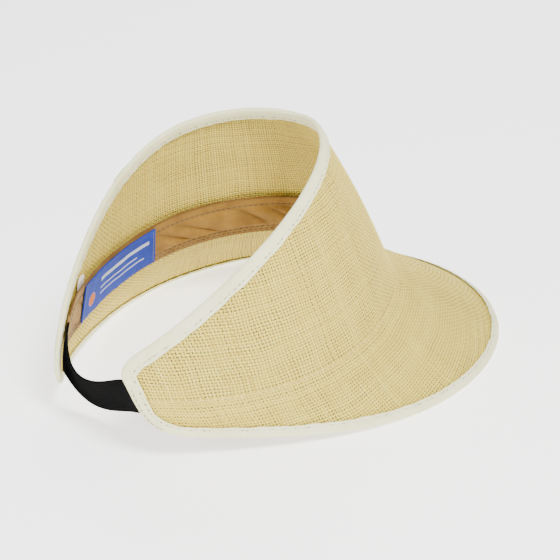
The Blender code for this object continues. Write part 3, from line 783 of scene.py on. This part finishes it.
def pucker(s, depth, total, seed, shortest, longest):
    """Small wrinkles along a loop of length total, between about -1 and 1."""
    waves = np.random.default_rng(seed)
    height = 0.0
    for _ in range(9):
        turns = np.round(total / waves.uniform(shortest, longest))
        slant = waves.uniform(-700, 700)
        height = height + np.sin(2 * np.pi * turns * s / total + depth * slant + waves.uniform(0, 6.28))
    return height / 4


edge_t, edge_vs, edge_aim, edge_s, edge_length = even_edge(TAPE_STATION)


def tape_width(v):
    return TAPE_WIDTH[0] + (TAPE_WIDTH[1] - TAPE_WIDTH[0]) * (v + 1) / 2


def tape_profile():
    outer = list(TAPE_HALF)
    inner = [(share, more, -e) for share, more, e in reversed(TAPE_HALF)]
    share, more, e = np.array(outer + [(0.0, 0.0, 0.0)] + inner + list(TAPE_INSIDE)).T
    return share, more * MM, e * MM


def tape_lap(t, v):
    """1 where the tape's ends lap, 0 elsewhere, with a short slope at each end of the lap."""
    first, last = TAPE_JOIN
    lap = smooth_step(t, first - TAPE_LAP_SLOPE, first) * (1 - smooth_step(t, last, last + TAPE_LAP_SLOPE))
    return lap * (v > 0.99)


def binding():
    share, more, e = tape_profile()
    depth = share * tape_width(edge_vs)[:, None] + more
    facing = np.sign(e) * (np.abs(e) > 0.97 * MM)
    s = edge_s[:, None]
    wrinkle = pucker(s, depth, edge_length, 5, 3.5 * MM, 11 * MM) * 0.15 * MM
    wrinkle = wrinkle + pucker(s, depth, edge_length, 6, 20 * MM, 60 * MM) * 0.06 * MM
    seam = np.exp(-((share - BINDING_SEAM_SHARE) / 0.1) ** 2)
    stitches = 0.10 * MM * np.cos(2 * np.pi * np.round(edge_length / STITCH_PITCH) * s / edge_length) * seam
    wander = pucker(s, 0 * depth, edge_length, 8, 9 * MM, 40 * MM) * 0.22 * MM * (share > 0.85)
    extra = TAPE_JOIN_EXTRA * tape_lap(edge_t, edge_vs)[:, None] * (e > 1.0 * MM)
    ee = e + facing * (wrinkle * smooth_step(depth, 0.0, 2 * MM) + stitches) + extra
    dd = depth + wander
    points = off_sheet(edge_t[:, None] + edge_aim[:, :1] * dd, edge_vs[:, None] + edge_aim[:, 1:] * dd, ee)
    points[..., 2] = np.maximum(points[..., 2], 0.0)
    size = len(e)
    girth = np.concatenate([[0], np.cumsum(np.hypot(np.diff(depth[0]), np.diff(e)))])
    uv = np.stack([np.repeat(edge_s, size), np.tile(girth, len(edge_t))], 1)
    quads = outward(points.reshape(-1, 3), ring_quads(len(edge_t), size, True))
    piece = make_piece("binding_tape", points, quads, tape.material, node="edge_binding", slot="binding_tape",
                       uv=uv, sharp=70)
    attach(piece, "visor")
    return piece


binding_tape = binding()
for face, side in (("outer", 1), ("inner", -1)):
    around = np.append(np.arange(len(edge_t)), 0)
    seam_inset = BINDING_SEAM_SHARE * tape_width(edge_vs)
    seam_t = (edge_t + edge_aim[:, 0] * seam_inset)[around]
    seam_v = (edge_vs + edge_aim[:, 1] * seam_inset)[around]
    raised = TAPE_JOIN_EXTRA * tape_lap(edge_t, edge_vs)[around] * (side > 0)
    stitch_line("binding_stitches_" + face, seam_t, seam_v, side * (TAPE_SEAM_FACE + raised), STITCH_PITCH,
                cream_thread, "binding_thread_" + face, "cream_thread")


# ---- The sweatband ----
BAND_COLUMNS = 620
BAND_ROWS = 40
HEM_THICK = 0.45 * MM
BAND_SEAM_SHORT = 0.008         # the band's seams stop this much of t before its ends


def band_crumple(t, height):
    """How far the cloth puffs inwards between its seams, in metres, and how deep in a fold each point is, for
    painted shade in the folds.
    """
    a = t * AROUND
    low = BAND_FOOT + LOWER_SEAMS[1]
    high = band_top(t) - HEM_SEAM_DROP
    between = smooth_step(height, low, low + 4 * MM) * (1 - smooth_step(height, high - 4 * MM, high))
    waves = np.random.default_rng(31)
    bend = 5 * MM * np.sin(height / (5.5 * MM) + a / (13 * MM))
    one = np.abs(np.sin(np.pi * (a + 1.3 * height + bend) / (19 * MM) + 1.5 * np.sin(a / (29 * MM))))
    other = np.abs(np.sin(np.pi * (a - 0.35 * height - bend) / (31 * MM) + 1.4 * np.sin(a / (21 * MM) + 2)))
    pillows = one ** 0.6 * (0.45 + 0.55 * other)
    creases = 0.0
    for _ in range(6):
        length = waves.uniform(3.5, 8) * MM
        phase = waves.uniform(0, 6.28)
        creases = creases + np.sin(2 * np.pi * (a + 0.25 * height * np.sin(a / (23 * MM))) / length + phase)
    ends = smooth_step(np.abs(t), 0.80, 0.90)
    first, last = LABEL_T
    under_label = smooth_step(t, first - 0.03, first) * (1 - smooth_step(t, last, last + 0.03))
    free = 1 - 0.85 * under_label
    loose = between * (1 - 0.6 * ends) * free
    fine = creases / 6 * smooth_step(height, low, low + 2 * MM) * free
    return (2.6 * MM * pillows * loose + 0.16 * MM * fine * (0.5 + 1.8 * ends),
            np.clip(1 - pillows * 1.6, 0, 1) * loose + 0.35 * np.clip(-fine * 3, 0, 1) * ends)


def sweatband():
    t = np.linspace(-BAND_END_T, BAND_END_T, BAND_COLUMNS)[:, None]
    top = band_top(t)
    share = np.linspace(0, 1, BAND_ROWS)[None, :]
    height = BAND_FOOT + (top - BAND_FOOT) * share
    t = t + 0 * height
    e = band_offset(height)
    hem = smooth_step(height, band_top(t) - HEM_SEAM_DROP - 1.6 * MM, band_top(t) - HEM_SEAM_DROP - 0.9 * MM)
    roll = np.sqrt(np.clip(1 - ((share - 0.985) / 0.015) ** 2 * (share > 0.985), 0, 1))
    seams = sum(np.exp(-((height - line) / (0.7 * MM)) ** 2) for line in
                (BAND_FOOT + LOWER_SEAMS[0], BAND_FOOT + LOWER_SEAMS[1]))
    seams = seams + np.exp(-((height - (band_top(t) - HEM_SEAM_DROP)) / (0.7 * MM)) ** 2)
    crumple, fold_shade = band_crumple(t, height)
    puff = crumple + HEM_THICK * hem - 0.10 * MM * seams
    half = BAND_THICK / 2 * (0.35 + 0.65 * roll)
    v = v_at(t, height)
    uv = np.stack([t * AROUND, height], -1)
    # painted shade: darker along the band's top and bottom edges and in the valleys of its folds; paler
    # towards its ends
    edges = np.exp(-((top - height) / (0.9 * MM)) ** 2) + np.exp(-((height - BAND_FOOT) / (0.9 * MM)) ** 2)
    paler_ends = smooth_step(np.abs(t), 0.80, 0.90)
    dark = np.clip(edges + 0.55 * fold_shade, 0, 1)
    tone = 0.5 - 0.5 * dark + 0.5 * paler_ends * (1 - dark)
    tone = np.concatenate([tone, tone[:, ::-1]], 1).ravel()
    return slab_piece("sweatband_cotton", off_sheet(t, v, e + half), off_sheet(t, v, e - half - puff),
                      band.material, uv=uv, node="sweatband", slot="band_cotton", sharp=60, tone=tone)


def tone_band():
    """Painted shade along the band's top and bottom edges and in its folds; paler towards its ends."""
    plain = band.shader.inputs["Base Color"].links[0].from_socket
    tone = band.attribute("tone")
    # painted shade colour for the band's edges and folds, then a paler colour towards its ends
    edge = band.node("MapRange", Value=tone, From_Min=0.0, From_Max=0.5, To_Min=0.8, To_Max=0.0)
    pale = band.node("MapRange", Value=tone, From_Min=0.5, From_Max=1.0, To_Min=0.0, To_Max=0.6)
    shaded = band.mix(edge.outputs["Result"], plain, (0.10, 0.045, 0.008))
    band.colour(band.mix(pale.outputs["Result"], shaded, (0.48, 0.30, 0.10)))


tone_band()

sweatband_cotton = sweatband()
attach(sweatband_cotton, "visor")


def band_seam(name, height_at, node):
    """One dashed row of stitches along the sweatband."""
    t = np.linspace(-BAND_END_T + BAND_SEAM_SHORT, BAND_END_T - BAND_SEAM_SHORT, 900)
    height = height_at(t)
    lift = HEM_THICK * (node == "hem_thread")
    e = band_offset(height) - BAND_THICK / 2 + 0.08 * MM - lift
    stitch_line(name, t, v_at(t, height), e, BAND_STITCH_PITCH, brown_thread, node, "brown_thread",
                radius=0.30 * MM)


band_seam("hem_stitches", lambda t: band_top(t) - HEM_SEAM_DROP, "hem_thread")
band_seam("foot_stitches_lower", lambda t: BAND_FOOT + LOWER_SEAMS[0] + 0 * t, "seam_thread_lower")
band_seam("foot_stitches_upper", lambda t: BAND_FOOT + LOWER_SEAMS[1] + 0 * t, "seam_thread_upper")


# ---- The blank woven label and the size tag ----
LABEL_THICK = 0.5 * MM
LABEL_LIFT = 2 * SEWING_GAP + THREAD
LABEL_SEAM_INSET = 1.6 * MM
LABEL_STITCH_PITCH = 2.2 * MM
LABEL_COLUMNS = 200
LABEL_ROWS = 64
# each pale bar: start and end along the label, middle and half thickness across it, as shares
LABEL_BARS = ((0.32, 0.93, 0.70, 0.055), (0.32, 0.80, 0.46, 0.030), (0.32, 0.88, 0.30, 0.030))
DISC_PLACE = (0.17, 0.40)
DISC_RADIUS = 4.4 * MM


def label_dye(along, across, width, height):
    """0 ground, 0.5 pale woven bars, 1 the orange disc; along and across run from 0 to 1."""
    dye = np.zeros(along.shape)
    for start, end, middle, thick in LABEL_BARS:
        dye[(along > start) & (along < end) & (np.abs(across - middle) < thick)] = 1.0
    border = (along < 0.02) | (along > 0.98) | (across < 0.045) | (across > 0.955)
    dye[border] = 0.35
    away = np.hypot((along - DISC_PLACE[0]) * width, (across - DISC_PLACE[1]) * height)
    dye[away < DISC_RADIUS] = 2.0
    return dye / 2


def label():
    along = np.linspace(0, 1, LABEL_COLUMNS)[:, None]
    across = np.linspace(0, 1, LABEL_ROWS)[None, :]
    along, across = np.broadcast_arrays(along, across)
    t = LABEL_T[0] + (LABEL_T[1] - LABEL_T[0]) * along
    height = LABEL_HEIGHTS[0] + (LABEL_HEIGHTS[1] - LABEL_HEIGHTS[0]) * across
    near = band_offset(height) - BAND_THICK / 2 - LABEL_LIFT
    ripple = (np.sin(along * 17 + across * 2.2) * 0.16 + np.sin(along * 41 - across * 3) * 0.06) * MM
    held = smooth_step(along, 0, 0.06) * (1 - smooth_step(along, 0.94, 1))
    ripple = ripple * held
    v = v_at(t, height)
    uv = np.stack([t * AROUND, height], -1)
    width = (LABEL_T[1] - LABEL_T[0]) * AROUND
    dye = label_dye(along, across, width, LABEL_HEIGHTS[1] - LABEL_HEIGHTS[0])
    tone = np.concatenate([dye, dye[:, ::-1]], 1).ravel()
    piece = slab_piece("woven_label_blank", off_sheet(t, v, near + ripple),
                       off_sheet(t, v, near + ripple - LABEL_THICK), label_cloth.material, uv=uv,
                       node="woven_label", slot="label_weave", tone=tone, sharp=60)
    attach(piece, "visor")


def dye_label():
    dye = label_cloth.attribute("tone")
    ground = label_cloth.shader.inputs["Base Color"].links[0].from_socket
    pale = label_cloth.mix(label_cloth.math("GREATER_THAN", dye, 0.4), ground, (0.40, 0.45, 0.55))
    orange = label_cloth.mix(label_cloth.math("GREATER_THAN", dye, 0.8), pale, (0.55, 0.13, 0.006))
    label_cloth.colour(orange)


dye_label()
label()


def label_seam(name, t_at, node):
    height = np.linspace(LABEL_HEIGHTS[0] + LABEL_SEAM_INSET, LABEL_HEIGHTS[1] - LABEL_SEAM_INSET, 60)
    t = np.full(height.shape, t_at)
    e = band_offset(height) - BAND_THICK / 2 - LABEL_LIFT - LABEL_THICK
    stitch_line(name, t, v_at(t, height), e, LABEL_STITCH_PITCH, label_thread, node, "label_thread",
                radius=0.18 * MM)


label_seam("label_stitches_front", LABEL_T[1] - LABEL_SEAM_INSET / AROUND, "label_thread_front")
label_seam("label_stitches_back", LABEL_T[0] + LABEL_SEAM_INSET / AROUND, "label_thread_back")


def tag():
    u = np.linspace(-1, 1, 25)[:, None]
    w = np.linspace(-1, 1, 25)[None, :]
    u, w = np.broadcast_arrays(u, w)
    squeeze = 1 - 0.20 * w ** 6
    bulge = 1 - 0.14 * u ** 6
    t = (TAG_T[0] + TAG_T[1]) / 2 + (TAG_T[1] - TAG_T[0]) / 2 * u * squeeze
    height = (TAG_HEIGHTS[0] + TAG_HEIGHTS[1]) / 2 + (TAG_HEIGHTS[1] - TAG_HEIGHTS[0]) / 2 * w * bulge
    v = v_at(t, height)
    e = -(STRAW_THICK / 2 + SEWING_GAP) - 0.35 * MM * u ** 2
    uv = np.stack([t * AROUND, height], -1)
    piece = slab_piece("size_tag_blank", off_sheet(t, v, e), off_sheet(t, v, e - TAG_THICK),
                       tag_cloth.material, uv=uv, node="size_tag", slot="tag_satin", sharp=60)
    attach(piece, "visor")


tag()


# ---- The elastic strap ----
STRAP_OFFSET = -(STRAW_THICK / 2 + 3 * SEWING_GAP + TAPE_THICK + THREAD + STRAP_THICK / 2)
STRAP_ROWS = 73
STRAP_RIBS = 18
STRAP_RIB_HEIGHT = 0.13 * MM
STRAP_BLEND = 0.3               # share of the strap at each end that keeps to the sewn end's curve
TACK_PITCH = 3.0 * MM
TACK_REACH = 0.42               # half of a tack row's length, as a share of the strap's width


def strap_grid():
    rows = np.linspace(-0.5, 0.5, STRAP_ROWS)[:, None]
    ends = {}
    for side in (1, -1):
        v = v_at(np.full(STRAP_ROWS, side * 1.0), rows[:, 0] * STRAP_WIDTH + STRAP_CENTRE[side])
        ends[side] = np.stack([off_sheet(side * (end_t(v) - d), v, STRAP_OFFSET)
                               for d in np.linspace(STRAP_LAP, 0, 10) / AROUND])
    right = ends[1]
    left = ends[-1][::-1]
    start, finish = right[-1].mean(0), left[0].mean(0)
    start_width = right[-1, -1] - right[-1, 0]
    finish_width = left[0, -1] - left[0, 0]
    middle_width = np.array([0, np.sin(STRAP_LEAN), np.cos(STRAP_LEAN)]) * STRAP_WIDTH
    free = []
    for u in np.linspace(0, 1, 130)[1:-1]:
        a = start + np.array(STRAP_RIGHT_HANDLE)
        b = finish + np.array(STRAP_LEFT_HANDLE)
        centre = start * (1 - u) ** 3 + 3 * a * u * (1 - u) ** 2 + 3 * b * u * u * (1 - u) + finish * u ** 3
        bend = 4 * u * (1 - u)
        width = (start_width * (1 - u) + finish_width * u) * (1 - bend) + middle_width * bend
        width *= STRAP_WIDTH / np.linalg.norm(width)
        row = centre + rows * width
        row += (right[-1] - start - rows * start_width) * max(0.0, 1 - u / STRAP_BLEND) ** 2
        row += (left[0] - finish - rows * finish_width) * max(0.0, 1 - (1 - u) / STRAP_BLEND) ** 2
        free.append(row)
    return np.concatenate([right, np.array(free), left])


def strap():
    grid = strap_grid()
    normal = unit(np.cross(np.gradient(grid, axis=1), np.gradient(grid, axis=0)))
    ribs = STRAP_RIB_HEIGHT * np.cos(2 * np.pi * STRAP_RIBS * np.linspace(0, 1, STRAP_ROWS))
    centre = grid[:, STRAP_ROWS // 2]
    length = np.concatenate([[0], np.cumsum(np.linalg.norm(np.diff(centre, axis=0), axis=-1))])
    half = (STRAP_THICK / 2 - STRAP_RIB_HEIGHT + ribs)[None, :, None]
    uv = np.stack(np.broadcast_arrays(length[:, None], np.linspace(0, STRAP_WIDTH, STRAP_ROWS)[None, :]), -1)
    split = int(np.argmin(np.abs(centre[:, 0])))
    for name, part, start_x in (("strap_elastic_right", slice(0, split + 1), grid[0, :, 0].max()),
                                ("strap_elastic_left", slice(split, None), grid[-1, :, 0].min())):
        g, n = grid[part], normal[part]
        piece = slab_piece(name, g + n * half, g - n * half, elastic.material, uv=uv[part],
                           node="elastic_strap", slot="elastic", sharp=60)
        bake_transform(piece)


strap()


# ---- Rows of stitches that hold the strap's ends, and its loose threads ----
def strap_tack(name, side):
    offsets = np.linspace(-TACK_REACH, TACK_REACH, 60) * STRAP_WIDTH + STRAP_CENTRE[side]
    v = v_at(np.full(offsets.shape, side * 1.0), offsets)
    t = side * (end_t(v) - TACK_INSET / AROUND)
    stitch_line(name, t, v, np.full(offsets.shape, TAPE_OUT), TACK_PITCH, cream_thread,
                "strap_tack_" + ("right" if side > 0 else "left"), "cream_thread")


strap_tack("strap_tack_stitches_right", 1)
strap_tack("strap_tack_stitches_left", -1)


def loose_threads():
    grid = strap_grid()
    here = grid[TAIL_STATION, 1]
    out = unit(np.cross(here - grid[TAIL_STATION, 8], grid[TAIL_STATION + 1, 1] - here))
    start = here + out * 0.4 * MM
    reach = np.linspace(0, 1, 16)[:, None]
    middles = []
    for aim, curl, length in (((0.35, 0.45, -0.55), 0.25, 0.5 * TAIL_LENGTH),
                              ((-0.50, 0.42, -0.30), -0.30, 0.35 * TAIL_LENGTH)):
        line = start + reach * np.array(aim) * length
        line[:, 2] += reach[:, 0] ** 2 * curl * length
        line[:, 0] += np.sin(reach[:, 0] * 5) * 0.06 * length
        middles.append(line)
    middles = np.array(middles)
    normal = np.broadcast_to(np.array([0.0, 0.0, 1.0]), middles.shape)
    radii = np.full((2, 16, 2), 0.17 * MM)
    tubes("strap_loose_threads", middles, normal, radii, black_thread, node="strap_thread_tail",
          slot="black_thread")


loose_threads()

# ---- Camera, floor and light ----
CAMERA_AT = Vector((-0.5210, 0.5798, 0.4048))
CAMERA_AIM = Vector((0.60397, -0.67614, -0.42196))
CAMERA_ROLL = -1.712 * DEG
CAMERA_LENS = 97.203
LIGHT_TARGET = Vector((0, 0, 0.05))
FLOOR_REACH = 6
FLOOR_DROP = 0.0004             # keeps the floor clear of the binding that rests at z = 0

camera_data = bpy.data.cameras.new("camera")
camera_data.lens = CAMERA_LENS
camera_data.sensor_width = 36.0
camera_data.clip_start = 0.01
camera = bpy.data.objects.new("camera", camera_data)
bpy.context.scene.collection.objects.link(camera)
aim = CAMERA_AIM.normalized()
level = aim.cross(Vector((0, 0, 1))).normalized()
upright = level.cross(aim)
right = level * np.cos(CAMERA_ROLL) + upright * np.sin(CAMERA_ROLL)
up = -level * np.sin(CAMERA_ROLL) + upright * np.cos(CAMERA_ROLL)
camera.matrix_world = Matrix((
    (right.x, up.x, -aim.x, CAMERA_AT.x), (right.y, up.y, -aim.y, CAMERA_AT.y),
    (right.z, up.z, -aim.z, CAMERA_AT.z), (0, 0, 0, 1)))
bpy.context.scene.camera = camera

floor_look = Look("pale_floor", (0.95, 0.95, 0.945), 0.9)
corners = np.array([(-1, -1, 0), (1, -1, 0), (1, 1, 0), (-1, 1, 0)], float) * FLOOR_REACH
floor = make_piece("floor", corners - [0, 0, FLOOR_DROP], [[0, 1, 2, 3]], floor_look.material)
floor_look.shader.inputs["Emission Color"].default_value = (1.0, 1.0, 1.0, 1.0)
floor_look.shader.inputs["Emission Strength"].default_value = 1.5

world = bpy.data.worlds.new("studio")
world.use_nodes = True
world.node_tree.nodes["Background"].inputs["Color"].default_value = (1.0, 1.0, 1.0, 1.0)
world.node_tree.nodes["Background"].inputs["Strength"].default_value = 0.62
bpy.context.scene.world = world


def soft_light(name, place, size, power):
    """A round light aimed at the visor."""
    data = bpy.data.lights.new(name, "AREA")
    data.shape = "DISK"
    data.size = size
    data.energy = power
    lamp = bpy.data.objects.new(name, data)
    bpy.context.scene.collection.objects.link(lamp)
    lamp.location = place
    lamp.rotation_euler = (LIGHT_TARGET - Vector(place)).to_track_quat("-Z", "Y").to_euler()


soft_light("key", (-1.0, 0.35, 1.35), 0.5, 52)
soft_light("fill", (0.3, 1.5, 0.9), 1.0, 16)
soft_light("rim", (0.7, -1.2, 1.1), 0.9, 14)
